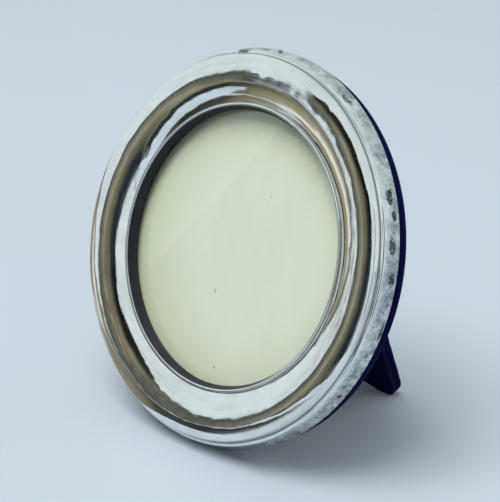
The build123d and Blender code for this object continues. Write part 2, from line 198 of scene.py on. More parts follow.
def vector(tree, x=0.0, y=0.0, z=0.0):
    """A vector of three values."""
    return put(tree, "ShaderNodeCombineXYZ", {0: x, 1: y, 2: z}).outputs[0]


def ranged(tree, value, low, high, top=1.0, ease="LINEAR"):
    """A value brought from nought at its low end to a top at its high end."""
    ends = {"Value": value, "From Min": low, "From Max": high, "To Max": top}
    return put(tree, "ShaderNodeMapRange", ends, interpolation_type=ease).outputs["Result"]


def cloud(tree, place, scale, detail, roughness):
    """Noise at a place, a half on average."""
    look = {"Vector": place, "Scale": scale, "Detail": detail, "Roughness": roughness}
    return put(tree, "ShaderNodeTexNoise", look).outputs[0]


def used(tree, group, values=None):
    """A shared group as a node."""
    return put(tree, "ShaderNodeGroup", values, node_tree=group)


def turned_tree():
    """Turns a section round the frame's axis, with soft ripples and one knock in the sheet."""
    tree, given, result = new_tree(
        "turned_sheet",
        "GeometryNodeTree",
        [
            ("Section", "NodeSocketGeometry", None),
            ("Section Points", "NodeSocketInt", 10),
            ("Steps Round", "NodeSocketInt", 360),
            ("Ripple", "NodeSocketFloat", 0.0),
            ("Ripple Size", "NodeSocketFloat", 10.0),
            ("Knock Depth", "NodeSocketFloat", 0.0),
            ("Knock Reach", "NodeSocketFloat", 1.0),
            ("Knock Place", "NodeSocketVector", None),
            ("Seed", "NodeSocketFloat", 0.0),
            ("Finish", "NodeSocketMaterial", None),
        ],
        [("Sheet", "NodeSocketGeometry")],
    )
    steps = maths(tree, "ADD", given.outputs["Steps Round"], 1)
    grid = put(
        tree,
        "GeometryNodeMeshGrid",
        {"Size X": 1, "Size Y": 1, "Vertices X": steps, "Vertices Y": given.outputs["Section Points"]},
    )
    place = put(tree, "GeometryNodeInputPosition").outputs[0]
    across = put(tree, "ShaderNodeSeparateXYZ", {0: place})
    turn = maths(tree, "MULTIPLY_ADD", across.outputs["X"], 2 * math.pi, math.pi)
    last = maths(tree, "SUBTRACT", given.outputs["Section Points"], 1)
    row = maths(tree, "ROUND", times(tree, maths(tree, "ADD", across.outputs["Y"], 0.5), last))
    sampled = put(
        tree,
        "GeometryNodeSampleIndex",
        {"Geometry": given.outputs["Section"], "Value": place, "Index": row},
        data_type="FLOAT_VECTOR",
    )
    point = put(tree, "ShaderNodeSeparateXYZ", {0: sampled.outputs[0]})
    out = point.outputs["X"]
    spun = vector(
        tree,
        times(tree, out, maths(tree, "COSINE", turn)),
        times(tree, out, maths(tree, "SINE", turn)),
        point.outputs["Y"],
    )
    sheet = put(tree, "GeometryNodeSetPosition", {"Geometry": grid.outputs["Mesh"], "Position": spun})
    closed = put(tree, "GeometryNodeMergeByDistance", {"Geometry": sheet.outputs[0], "Distance": 0.0005})
    shifted = vectors(tree, "ADD", place, given.outputs["Seed"])
    cells = maths(tree, "DIVIDE", 1, given.outputs["Ripple Size"])
    swell = maths(tree, "SUBTRACT", cloud(tree, shifted, cells, 2.0, 0.45), 0.5)
    wave = times(tree, swell, times(tree, given.outputs["Ripple"], 2))
    knock_place = given.outputs["Knock Place"]
    near = put(tree, "ShaderNodeVectorMath", {0: place, 1: knock_place}, operation="DISTANCE")
    reach, depth = given.outputs["Knock Reach"], given.outputs["Knock Depth"]
    knock = ranged(tree, near.outputs["Value"], reach, 0.0, depth, "SMOOTHSTEP")
    inward = vectors(tree, "NORMALIZE", vectors(tree, "MULTIPLY", place, (-1.0, -1.0, 0.0)))
    pushed = put(tree, "ShaderNodeVectorMath", {0: inward, "Scale": knock}, operation="SCALE")
    offset = vectors(tree, "ADD", pushed.outputs[0], vector(tree, z=wave))
    worked = put(tree, "GeometryNodeSetPosition", {"Geometry": closed.outputs[0], "Offset": offset})
    flipped = put(tree, "GeometryNodeFlipFaces", {"Mesh": worked.outputs[0]})
    smooth = put(tree, "GeometryNodeSetShadeSmooth", {"Geometry": flipped.outputs[0]})
    real = put(tree, "GeometryNodeRealizeInstances", {"Geometry": smooth.outputs[0]})
    finish = {"Geometry": real.outputs[0], "Material": given.outputs["Finish"]}
    tree.links.new(put(tree, "GeometryNodeSetMaterial", finish).outputs[0], result.inputs[0])
    return tree


def linked(name, data):
    """A new object in the scene."""
    thing = bpy.data.objects.new(name, data)
    bpy.context.scene.collection.objects.link(thing)
    return thing


def settle(piece):
    """Keeps what a piece's modifiers make as its plain mesh."""
    shown = piece.evaluated_get(bpy.context.evaluated_depsgraph_get())
    mesh = bpy.data.meshes.new_from_object(shown)
    piece.modifiers.clear()
    piece.data = mesh


def grown(piece, tree, values):
    """Runs a tree on a piece and keeps the result."""
    modifier = piece.modifiers.new(tree.name, "NODES")
    modifier.node_group = tree
    for item in tree.interface.items_tree:
        if item.in_out == "INPUT" and item.name in values:
            modifier[item.identifier] = values[item.name]
    settle(piece)


def section_piece(name, points, tree, values, place):
    """A piece turned from a closed section."""
    loop = [*points, points[0]]
    mesh = bpy.data.meshes.new(name)
    mesh.from_pydata([(x, y, 0) for x, y in loop], [(i, i + 1) for i in range(len(loop) - 1)], [])
    piece = linked(name, mesh)
    grown(piece, tree, {**values, "Section Points": len(loop)})
    piece.data.transform(place)
    return piece


def frame_place_group():
    """Where a point lies on the round frame: place in millimetres, radius, turn in degrees and height."""
    tree, given, result = new_tree(
        "frame_place",
        "ShaderNodeTree",
        [],
        [
            ("Place", "NodeSocketVector"),
            ("Radius", "NodeSocketFloat"),
            ("Turn", "NodeSocketFloat"),
            ("Height", "NodeSocketFloat"),
        ],
    )
    spot = put(tree, "ShaderNodeTexCoord").outputs["Object"]
    level = put(
        tree,
        "ShaderNodeMapping",
        {"Vector": spot, "Location": centre, "Rotation": (face_turn, 0, 0), "Scale": (mm, mm, mm)},
        vector_type="TEXTURE",
    ).outputs[0]
    parts = put(tree, "ShaderNodeSeparateXYZ", {0: level})
    x, y, z = parts.outputs
    radius = maths(tree, "SQRT", maths(tree, "ADD", times(tree, x, x), times(tree, y, y)))
    turn = maths(tree, "DEGREES", maths(tree, "ARCTAN2", y, x))
    feed(tree, result, {"Place": level, "Radius": radius, "Turn": turn, "Height": z})
    return tree


frame_place = frame_place_group()


def stain_group():
    """A soft-edged patch at a turn and a height of the frame, broken up by noise."""
    tree, given, result = new_tree(
        "stain",
        "ShaderNodeTree",
        [
            ("At Turn", "NodeSocketFloat", 0.0),
            ("At Height", "NodeSocketFloat", 0.0),
            ("Turn Reach", "NodeSocketFloat", 4.0),
            ("Height Reach", "NodeSocketFloat", 1.0),
        ],
        [("Patch", "NodeSocketFloat")],
    )
    spot = used(tree, frame_place)
    away = maths(tree, "SUBTRACT", spot.outputs["Turn"], given.outputs["At Turn"])
    along = maths(tree, "DIVIDE", maths(tree, "WRAP", away, 180.0, -180.0), given.outputs["Turn Reach"])
    above = maths(tree, "SUBTRACT", spot.outputs["Height"], given.outputs["At Height"])
    up = maths(tree, "DIVIDE", above, given.outputs["Height Reach"])
    ragged = maths(tree, "MULTIPLY_ADD", cloud(tree, spot.outputs["Place"], 0.9, 6.0, 0.65), -3.2, 1.6)
    far = maths(tree, "ADD", times(tree, along, along), times(tree, up, up))
    off_skirt = ranged(tree, spot.outputs["Radius"], 48.9, 48.4, 9.0)
    rough = maths(tree, "ADD", maths(tree, "ADD", far, ragged), off_skirt)
    feed(tree, result, {0: ranged(tree, rough, 1.0, 0.45, ease="SMOOTHSTEP")})
    return tree


def scratches_group():
    """Fine polishing lines that run every way, as a mask and as a height."""
    tree, given, result = new_tree(
        "fine_scratches",
        "ShaderNodeTree",
        [("Place", "NodeSocketVector", None), ("Fineness", "NodeSocketFloat", 1.0)],
        [("Lines", "NodeSocketFloat")],
    )
    layers = []
    for turn, closeness in ((0.3, 2.6), (1.25, 3.4), (2.2, 3.0)):
        laying = {"Rotation": (0.2, turn * 0.4, turn), "Scale": (0.12, closeness, 1.0)}
        laid = put(tree, "ShaderNodeMapping", {"Vector": given.outputs["Place"], **laying}).outputs[0]
        layers.append(ranged(tree, cloud(tree, laid, given.outputs["Fineness"], 3.0, 0.6), 0.62, 0.74))
    feed(tree, result, {0: most(tree, *layers)})
    return tree


def rings_group():
    """Soft lines round the frame, left by pressing and by the polishing cloth, that fade in and out."""
    tree, given, result = new_tree(
        "polishing_rings",
        "ShaderNodeTree",
        [("Closeness", "NodeSocketFloat", 1.0), ("Breaks", "NodeSocketFloat", 2.0)],
        [("Rings", "NodeSocketFloat")],
    )
    spot = used(tree, frame_place)
    turn = maths(tree, "RADIANS", spot.outputs["Turn"])
    laid = vector(
        tree,
        times(tree, maths(tree, "COSINE", turn), given.outputs["Breaks"]),
        times(tree, maths(tree, "SINE", turn), given.outputs["Breaks"]),
        times(tree, spot.outputs["Radius"], given.outputs["Closeness"]),
    )
    feed(tree, result, {0: cloud(tree, laid, 1.0, 3.0, 0.6)})
    return tree


stain = stain_group()
fine_scratches = scratches_group()
polishing_rings = rings_group()


def finish_start(name):
    """A new material's tree and its Principled shader."""
    material = bpy.data.materials.new(name)
    material.use_nodes = True
    return material, material.node_tree, material.node_tree.nodes["Principled BSDF"]


def mixed(tree, share, first, second):
    """A colour between two colours."""
    ends = {6: first, 7: second}
    ends = {socket: (*end, 1.0) if isinstance(end, tuple) else end for socket, end in ends.items()}
    return put(tree, "ShaderNodeMix", data_type="RGBA", fixed={0: share, **ends}).outputs[2]


def band(tree, value, middle, reach):
    """One at a middle value, falling to nought a reach away."""
    off = maths(tree, "ABSOLUTE", maths(tree, "SUBTRACT", value, middle))
    return ranged(tree, off, reach, 0.0, ease="SMOOTHSTEP")


def relief(tree, height, strength, depth):
    """The normal of a surface roughened by a height, with its depth in millimetres."""
    bump = {"Height": height, "Strength": strength, "Distance": depth * mm}
    return put(tree, "ShaderNodeBump", bump).outputs[0]


def silver_finish():
    """Old polished silver: bright, filmed in streaks and tarnished in patches, with painted shade in its
    creases and on its flange.
    """
    material, tree, shader = finish_start("old_silver")
    spot = used(tree, frame_place)
    place, radius, turn = (spot.outputs[name] for name in ("Place", "Radius", "Turn"))

    def rings(closeness, breaks):
        return used(tree, polishing_rings, {"Closeness": closeness, "Breaks": breaks}).outputs[0]

    lines = used(tree, fine_scratches, {"Place": place, "Fineness": 1.6}).outputs[0]
    haze = ranged(tree, cloud(tree, place, 0.16, 5.0, 0.6), 0.42, 0.72)
    film = ranged(tree, rings(0.45, 2.2), 0.45, 0.75)
    streaks = rings(1.5, 3.0)
    specks = ranged(tree, cloud(tree, place, 2.6, 4.0, 0.7), 0.655, 0.70)

    # Brown bands on the inner slope, at the right and low at the left: rubbed tarnish, and a painted warm
    # reflection
    rust_and_reflection_sides = most(tree, band(tree, turn, 8.0, 70.0), band(tree, turn, -140.0, 45.0))
    rust_and_warm_reflection = times(tree, band(tree, radius, 42.4, 1.8), rust_and_reflection_sides)
    rust_and_warm_reflection = times(tree, rust_and_warm_reflection, ranged(tree, rings(2.6, 9.0), 0.42, 0.62, 0.75))
    rim_lines = times(tree, ranged(tree, rings(3.2, 1.6), 0.53, 0.60, 0.7), band(tree, radius, 48.9, 0.75))

    # Tarnish patches of the skirt
    patches = []
    for at_turn, height, turn_reach, height_reach in (
        (28, -1.6, 2.4, 0.9),
        (23, -2.4, 1.7, 0.7),
        (15, -1.7, 2.4, 1.1),
        (6, -2.4, 2.2, 0.9),
        (-8, -3.2, 3.0, 0.5),
        (-60, -1.2, 2.4, 0.8),
        (59, -1.3, 2.6, 1.0),
        (94, -1.3, 1.8, 0.7),
        (101, 0.5, 2.6, 0.8),
        (150, -2.0, 3.0, 0.8),
        (205, -2.4, 3.5, 0.8),
    ):
        at = {"At Turn": at_turn, "At Height": height, "Turn Reach": turn_reach, "Height Reach": height_reach}
        patches.append(used(tree, stain, at).outputs[0])
    stains = times(tree, most(tree, *patches), ranged(tree, cloud(tree, place, 1.9, 5.0, 0.75), 0.36, 0.50))
    skirt = ranged(tree, radius, 49.4, 50.1)
    # The skirt's dark mottle is stronger on the lower half and fades out towards the top.
    low_side = ranged(tree, turn, 75.0, -45.0)
    mottle = times(tree, ranged(tree, cloud(tree, place, 0.75, 7.0, 0.72), 0.52, 0.60), skirt)
    mottle = times(tree, mottle, maths(tree, "MULTIPLY_ADD", low_side, 0.45, 0.2))
    # Dark bands at the quirk and at the lip: tarnish in the creases, together with painted shade of the
    # creases.
    quirk_tarnish_and_shade = times(tree, band(tree, radius, quirk[0], 0.22), 0.85)
    lip_tarnish_and_shade = times(tree, band(tree, radius, lip[0] + 0.03, 0.17), 0.85)
    # The flange behind the lip is painted near-black and made less metallic: painted shade of the recess
    # between lip and glass.
    flange = ranged(tree, radius, 35.72, 35.58)
    dark = most(tree, stains, rim_lines, times(tree, specks, 0.45), mottle, quirk_tarnish_and_shade, lip_tarnish_and_shade, flange)

    clean = mixed(tree, haze, (0.88, 0.91, 0.92), (0.79, 0.81, 0.80))
    dulled = times(tree, skirt, ranged(tree, cloud(tree, place, 0.28, 6.0, 0.7), 0.30, 0.60, 0.95))
    clean = mixed(tree, dulled, clean, (0.24, 0.30, 0.31))
    clean = mixed(tree, times(tree, film, 0.4), clean, (0.50, 0.51, 0.42))
    # Brown of the rubbed tarnish, which also paints a warm reflection on the inner slope.
    clean = mixed(tree, rust_and_warm_reflection, clean, (0.34, 0.22, 0.12))
    # Dark colour of the tarnish, also used for the painted shade of the creases and the flange.
    tarnish_and_shade = mixed(tree, haze, (0.012, 0.024, 0.032), (0.05, 0.055, 0.06))
    face = mixed(tree, dark, clean, tarnish_and_shade)
    shine = maths(tree, "MULTIPLY_ADD", haze, 0.05, 0.04)
    shine = maths(tree, "ADD", shine, times(tree, lines, 0.06))
    shine = maths(tree, "MULTIPLY_ADD", dark, 0.42, shine)
    bare = maths(tree, "MULTIPLY_ADD", dark, -0.45, 1.0)
    worn = maths(tree, "ADD", times(tree, lines, -0.08), times(tree, specks, -0.15))
    looks = {
        "Base Color": mixed(tree, flange, face, (0.003, 0.004, 0.012)),
        "Roughness": maths(tree, "MULTIPLY_ADD", skirt, 0.16, shine),
        "Metallic": maths(tree, "MULTIPLY_ADD", flange, -0.55, bare),
        "Normal": relief(tree, maths(tree, "ADD", worn, streaks), 1.0, 0.012),
    }
    feed(tree, shader, looks)
    return material


old_silver = silver_finish()
turned_sheet = turned_tree()
knock_turn = math.radians(60)
pressed_silver = section_piece(
    "pressed_silver",
    silver_section,
    turned_sheet,
    {
        "Steps Round": 480,
        "Ripple": 0.09,
        "Ripple Size": 10.0,
        "Knock Depth": 0.55,
        "Knock Reach": 2.6,
        "Knock Place": (50.0 * math.cos(knock_turn), 50.0 * math.sin(knock_turn), -0.6),
        "Seed": 17.0,
        "Finish": old_silver,
    },
    face_place,
)
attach(pressed_silver, "frame")
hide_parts("silver_front")

# Former: turned hardwood ring, almost black, that fills the silver and carries the glass rebate.
# Only its sight edge shows, as the dark wall between the silver lip and the glass.


def grain_group():
    """Long wood grain with pores, as a tone and as a height."""
    tree, given, result = new_tree(
        "wood_grain",
        "ShaderNodeTree",
        [("Place", "NodeSocketVector", None), ("Stretch", "NodeSocketVector", None)],
        [("Tone", "NodeSocketFloat"), ("Pores", "NodeSocketFloat")],
    )
    drawn = vectors(tree, "MULTIPLY", given.outputs["Place"], given.outputs["Stretch"])
    pores = ranged(tree, cloud(tree, drawn, 4.5, 2.0, 0.5), 0.6, 0.7)
    feed(tree, result, {"Tone": cloud(tree, drawn, 0.7, 6.0, 0.62), "Pores": pores})
    return tree


wood_grain = grain_group()


def wood_finish(name, dark_tone, pale_tone, roughness, stretch):
    """Wood with long grain and open pores."""
    material, tree, shader = finish_start(name)
    place = used(tree, frame_place).outputs["Place"]
    grain = used(tree, wood_grain, {"Place": place, "Stretch": stretch})
    tone, pores = grain.outputs["Tone"], grain.outputs["Pores"]
    colour = mixed(tree, ranged(tree, tone, 0.3, 0.7), dark_tone, pale_tone)
    looks = {
        "Base Color": mixed(tree, pores, colour, tuple(part * 0.45 for part in dark_tone)),
        "Roughness": maths(tree, "MULTIPLY_ADD", tone, 0.25, roughness),
        "Normal": relief(tree, times(tree, pores, -1.0), 0.3, 0.05),
    }
    feed(tree, shader, looks)
    return material


def refinish(node, material):
    """Gives a carried-over piece its finish."""
    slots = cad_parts[node].data.materials
    slots.clear()
    slots.append(material)


black_wood = wood_finish(
    "near_black_wood", (0.004, 0.004, 0.008), (0.02, 0.016, 0.018), 0.4, (0.25, 1.0, 1.0)
)
refinish("former_ring", black_wood)

# Skirt pins: six small silver nails through the skirt into the former.
# Their domed heads are the same old silver, and worn almost flush by polishing.


def domed_heads_tree():
    """Domed fastener heads with their shanks, one at each place, turned to its facing, slotted or plain."""
    tree, given, result = new_tree(
        "domed_heads",
        "GeometryNodeTree",
        [
            ("Places", "NodeSocketGeometry", None),
            ("Head Radius", "NodeSocketFloat", 1.0),
            ("Head Height", "NodeSocketFloat", 0.5),
            ("Shank Radius", "NodeSocketFloat", 0.5),
            ("Shank Length", "NodeSocketFloat", 2.0),
            ("Slotted", "NodeSocketBool", False),
            ("Slot Width", "NodeSocketFloat", 0.4),
            ("Slot Depth", "NodeSocketFloat", 0.3),
            ("Seed", "NodeSocketInt", 0),
            ("Finish", "NodeSocketMaterial", None),
        ],
        [("Heads", "NodeSocketGeometry")],
    )
    ball = put(tree, "GeometryNodeMeshUVSphere", {"Segments": 32, "Rings": 24, "Radius": 1.0})
    place = put(tree, "GeometryNodeInputPosition").outputs[0]
    parts = put(tree, "ShaderNodeSeparateXYZ", {0: place})
    rise = maths(tree, "POWER", most(tree, parts.outputs["Z"], 0.0), 0.8)
    head_radius, head_height = given.outputs["Head Radius"], given.outputs["Head Height"]
    dome_place = vector(
        tree,
        times(tree, parts.outputs["X"], head_radius),
        times(tree, parts.outputs["Y"], head_radius),
        times(tree, rise, head_height),
    )
    below = put(
        tree,
        "FunctionNodeCompare",
        {0: parts.outputs["Z"], 1: -0.01},
        data_type="FLOAT",
        operation="LESS_THAN",
    )
    half_ball = {"Geometry": ball.outputs["Mesh"], "Selection": below.outputs[0]}
    half = put(tree, "GeometryNodeDeleteGeometry", half_ball)
    dome = put(tree, "GeometryNodeSetPosition", {"Geometry": half.outputs[0], "Position": dome_place})
    seat = put(tree, "GeometryNodeMeshCylinder", {"Vertices": 32, "Radius": head_radius, "Depth": 0.002})
    shank_length = given.outputs["Shank Length"]
    shank = put(
        tree,
        "GeometryNodeMeshCylinder",
        {"Vertices": 20, "Radius": given.outputs["Shank Radius"], "Depth": shank_length},
    )
    sunk = vector(tree, z=times(tree, shank_length, -0.5))
    lowered = {"Geometry": shank.outputs["Mesh"], "Translation": sunk}
    shank_low = put(tree, "GeometryNodeTransform", lowered)
    slot_deep = times(tree, given.outputs["Slot Depth"], 2.0)
    bar_size = vector(tree, times(tree, head_radius, 3.0), given.outputs["Slot Width"], slot_deep)
    bar = put(tree, "GeometryNodeMeshCube", {"Size": bar_size})
    lifted = {"Geometry": bar.outputs["Mesh"], "Translation": vector(tree, z=head_height)}
    bar_high = put(tree, "GeometryNodeTransform", lifted)
    whole = put(tree, "GeometryNodeJoinGeometry")
    tree.links.new(dome.outputs[0], whole.inputs[0])
    tree.links.new(seat.outputs["Mesh"], whole.inputs[0])
    cut = put(tree, "GeometryNodeMeshBoolean", operation="DIFFERENCE")
    tree.links.new(whole.outputs[0], cut.inputs["Mesh 1"])
    tree.links.new(bar_high.outputs[0], cut.inputs["Mesh 2"])
    head = put(
        tree,
        "GeometryNodeSwitch",
        {"Switch": given.outputs["Slotted"], "False": whole.outputs[0], "True": cut.outputs["Mesh"]},
        input_type="GEOMETRY",
    )
    nail = put(tree, "GeometryNodeJoinGeometry")
    tree.links.new(head.outputs[0], nail.inputs[0])
    tree.links.new(shank_low.outputs[0], nail.inputs[0])
    facing = put(tree, "GeometryNodeInputNamedAttribute", {"Name": "facing"}, data_type="FLOAT_VECTOR")
    aimed = put(tree, "FunctionNodeAlignRotationToVector", {"Vector": facing.outputs[0]}, axis="Z")
    turns = {"Max": (0.0, 0.0, 6.283), "Seed": given.outputs["Seed"]}
    chance = put(tree, "FunctionNodeRandomValue", turns, data_type="FLOAT_VECTOR")
    spin = put(tree, "FunctionNodeEulerToRotation", {0: chance.outputs[0]})
    turned = put(
        tree,
        "FunctionNodeRotateRotation",
        {"Rotation": aimed.outputs[0], "Rotate By": spin.outputs[0]},
        rotation_space="LOCAL",
    )
    spread = put(
        tree,
        "GeometryNodeInstanceOnPoints",
        {"Points": given.outputs["Places"], "Instance": nail.outputs[0], "Rotation": turned.outputs[0]},
    )
    real = put(tree, "GeometryNodeRealizeInstances", {"Geometry": spread.outputs[0]})
    angle = put(tree, "GeometryNodeInputMeshEdgeAngle")
    blunt = put(
        tree, "FunctionNodeCompare", {0: angle.outputs[0], 1: 0.7}, data_type="FLOAT", operation="LESS_THAN"
    )
    smooth = put(tree, "GeometryNodeSetShadeSmooth", {"Geometry": real.outputs[0], "Shade Smooth": True})
    crisp = put(
        tree,
        "GeometryNodeSetShadeSmooth",
        {"Geometry": smooth.outputs[0], "Shade Smooth": blunt.outputs[0]},
        domain="EDGE",
    )
    finish = {"Geometry": crisp.outputs[0], "Material": given.outputs["Finish"]}
    tree.links.new(put(tree, "GeometryNodeSetMaterial", finish).outputs[0], result.inputs[0])
    return tree


domed_heads = domed_heads_tree()


def heads_piece(name, places, values, place):
    """Fasteners at the given places, each with the direction that its head faces."""
    mesh = bpy.data.meshes.new(name)
    mesh.from_pydata([spot for spot, facing in places], [], [])
    directions = mesh.attributes.new("facing", "FLOAT_VECTOR", "POINT")
    for index, (spot, facing) in enumerate(places):
        directions.data[index].vector = facing
    piece = linked(name, mesh)
    grown(piece, domed_heads, values)
    piece.data.transform(place)
    return piece


skirt_pin_turns = [math.radians(60 * (index + 0.5)) for index in range(6)]
skirt_pin_radius = 50.65
skirt_pin_height = -2.6
silver_pins = heads_piece(
    "silver_pins",
    [
        (
            (skirt_pin_radius * math.cos(turn), skirt_pin_radius * math.sin(turn), skirt_pin_height),
            (math.cos(turn), math.sin(turn), 0.0),
        )
        for turn in skirt_pin_turns
    ],
    {
        "Head Radius": 0.6, "Head Height": 0.25, "Shank Radius": 0.35, "Shank Length": 2.6, "Seed": 3,
        "Finish": old_silver,
    },
    face_place,
)
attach(silver_pins, "frame")
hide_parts("skirt_pins")

# Glass: a thin disc of old picture glass held in the former's rebate by the card behind it.
# It is clear, with a faint film of dust that shows only in its gloss.


def glass_finish():
    """Clear picture glass that lets light through to the paper."""
    material, tree, shader = finish_start("picture_glass")
    place = used(tree, frame_place).outputs["Place"]
    dust = ranged(tree, cloud(tree, place, 0.12, 6.0, 0.65), 0.35, 0.8, 0.05)
    feed(tree, shader, {"Roughness": dust, "Transmission Weight": 1.0, "IOR": 1.46})
    shader.inputs["Base Color"].default_value = (0.985, 0.995, 0.985, 1)
    clear = put(tree, "ShaderNodeBsdfTransparent").outputs[0]
    shadow = put(tree, "ShaderNodeLightPath").outputs["Is Shadow Ray"]
    either = put(tree, "ShaderNodeMixShader", {0: shadow, 1: shader.outputs[0], 2: clear})
    tree.links.new(either.outputs[0], tree.nodes["Material Output"].inputs["Surface"])
    return material


glass_radius = 38.0
glass_front = -3.21
glass_back = -4.14
seamed = 0.2
glass_section = (
    [(0.0, glass_front), (glass_radius * 0.5, glass_front)]
    + rounded((0, glass_front), (glass_radius, glass_front), (glass_radius, glass_back), seamed, 4)
    + rounded((glass_radius, glass_front), (glass_radius, glass_back), (0, glass_back), seamed, 4)
    + [(glass_radius * 0.5, glass_back), (0.0, glass_back)]
)

picture_glass = glass_finish()
glass_disc = section_piece(
    "glass_disc",
    glass_section,
    turned_sheet,
    {"Steps Round": 180, "Ripple": 0.0, "Finish": picture_glass},
    face_place,
)
glass_disc.data.polygons.foreach_set("use_smooth", [False] * len(glass_disc.data.polygons))
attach(glass_disc, "frame")
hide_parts("glass")

# Picture paper: a plain blank sheet, pale green cream with age, that shows through the glass.
# It is mottled in soft upright clouds, a little browner at its edge, with a few specks; the edge is darker
# still at the left and top, a painted shadow of the silver lip.
# Backing card: a round of grey board behind the paper, hidden by it.


def fibre_group():
    """Soft clouds, fine fibres and sparse specks of paper or card."""
    tree, given, result = new_tree(
        "paper_fibre",
        "ShaderNodeTree",
        [("Place", "NodeSocketVector", None)],
        [("Clouds", "NodeSocketFloat"), ("Fibres", "NodeSocketFloat"), ("Specks", "NodeSocketFloat")],
    )
    place = given.outputs["Place"]
    drawn = put(tree, "ShaderNodeMapping", {"Vector": place, "Scale": (1.0, 0.35, 1.0)})
    dots = put(tree, "ShaderNodeTexVoronoi", {"Vector": place, "Scale": 0.22, "Randomness": 1.0})
    parts = {
        "Clouds": cloud(tree, drawn.outputs[0], 0.14, 5.0, 0.6),
        "Fibres": cloud(tree, place, 3.0, 4.0, 0.7),
        "Specks": ranged(tree, dots.outputs["Distance"], 0.05, 0.02),
    }
    feed(tree, result, parts)
    return tree


paper_fibre = fibre_group()


def paper_finish(name, pale, deep, edge, speck, marks):
    """Aged paper or card, browned towards the edge, with specks and a few marks; the edge colour reaches
    further in at the left and top as a painted shadow of the lip.
    """
    material, tree, shader = finish_start(name)
    place = used(tree, frame_place).outputs["Place"]
    fibre = used(tree, paper_fibre, {"Place": place})
    fibres = fibre.outputs["Fibres"]
    colour = mixed(tree, ranged(tree, fibre.outputs["Clouds"], 0.3, 0.78), pale, deep)
    colour = mixed(tree, ranged(tree, fibres, 0.3, 0.8, 0.5), colour, deep)
    paper_level = -4.2
    # The pale middle sits right of and below the centre, so the brown edge also paints the lip's shadow at
    # the left and top.
    unshaded_middle = (6.0, -1.0, paper_level)
    away = put(tree, "ShaderNodeVectorMath", {0: place, 1: unshaded_middle}, operation="DISTANCE")
    colour = mixed(tree, ranged(tree, away.outputs["Value"], 17.0, 40.0, 0.95, "SMOOTHSTEP"), colour, edge)
    dirt = times(tree, fibre.outputs["Specks"], 0.6)
    for x, y, half_wide, half_high in marks:
        laid = put(
            tree,
            "ShaderNodeMapping",
            {"Vector": place, "Location": (x, y, paper_level), "Scale": (half_wide, half_high, 1.0)},
            vector_type="TEXTURE",
        )
        reach = put(tree, "ShaderNodeVectorMath", {0: laid.outputs[0]}, operation="LENGTH").outputs["Value"]
        dirt = most(tree, dirt, times(tree, ranged(tree, reach, 1.2, 0.5), 0.85))
    looks = {
        "Base Color": mixed(tree, dirt, colour, speck),
        "Roughness": maths(tree, "MULTIPLY_ADD", fibres, 0.2, 0.7),
        "Normal": relief(tree, fibres, 0.12, 0.05),
    }
    feed(tree, shader, looks)
    return material


paper_marks = [
    (-4.0, -12.4, 0.22, 0.75),
    (1.6, -31.0, 0.35, 0.4),
    (7.0, 15.0, 0.15, 0.5),
    (-9.0, 4.0, 0.2, 0.2),
]
aged_paper = paper_finish(
    "aged_paper",
    pale=(0.55, 0.585, 0.50),
    deep=(0.485, 0.52, 0.425),
    edge=(0.43, 0.465, 0.335),
    speck=(0.16, 0.13, 0.08),
    marks=paper_marks,
)
refinish("picture_paper", aged_paper)
grey_card = paper_finish(
    "grey_card",
    pale=(0.42, 0.40, 0.35),
    deep=(0.32, 0.30, 0.26),
    edge=(0.28, 0.25, 0.21),
    speck=(0.12, 0.10, 0.08),
    marks=[],
)
refinish("backing_card", grey_card)

# Back ring and back panel boards, and the strut's tongue: plain thin deal under the velvet.
# Ring brads: six headless steel nails that hold the ring to the former, under the velvet.
plain_deal = wood_finish("plain_deal", (0.28, 0.18, 0.09), (0.46, 0.32, 0.18), 0.6, (0.15, 1.0, 1.0))
for board in ("back_ring_board", "back_panel_board", "strut_board"):
    refinish(board, plain_deal)


def metal_finish(name, bright, deep, dark, polish):
    """Small worn fittings: bright in places, dull in others, finely scratched and spotted."""
    material, tree, shader = finish_start(name)
    place = used(tree, frame_place).outputs["Place"]
    lines = used(tree, fine_scratches, {"Place": place, "Fineness": 2.4}).outputs[0]
    dull = ranged(tree, cloud(tree, place, 0.45, 5.0, 0.65), 0.38, 0.66)
    spots = ranged(tree, cloud(tree, place, 2.2, 4.0, 0.7), 0.6, 0.7)
    colour = mixed(tree, dull, bright, deep)
    rough = maths(tree, "MULTIPLY_ADD", dull, 0.22, polish)
    rough = maths(tree, "ADD", rough, times(tree, lines, 0.08))
    height = maths(tree, "SUBTRACT", times(tree, lines, -0.4), times(tree, spots, 0.6))
    looks = {
        "Base Color": mixed(tree, times(tree, spots, 0.7), colour, dark),
        "Roughness": maths(tree, "MULTIPLY_ADD", spots, 0.2, rough),
        "Metallic": 1.0,
        "Normal": relief(tree, height, 0.15, 0.03),
    }
    feed(tree, shader, looks)
    return material


dull_steel = metal_finish("dull_steel", (0.46, 0.45, 0.43), (0.30, 0.29, 0.28), (0.10, 0.07, 0.05), 0.28)
refinish("ring_brads", dull_steel)

# Back ring velvet: navy-black cotton velvet glued over the ring's edge, back and bore.
# Its nap is crushed and paler along the rounded rear edge, where the pale colour also paints the sheen that
# the edge catches, and the cut edge is a little wavy.


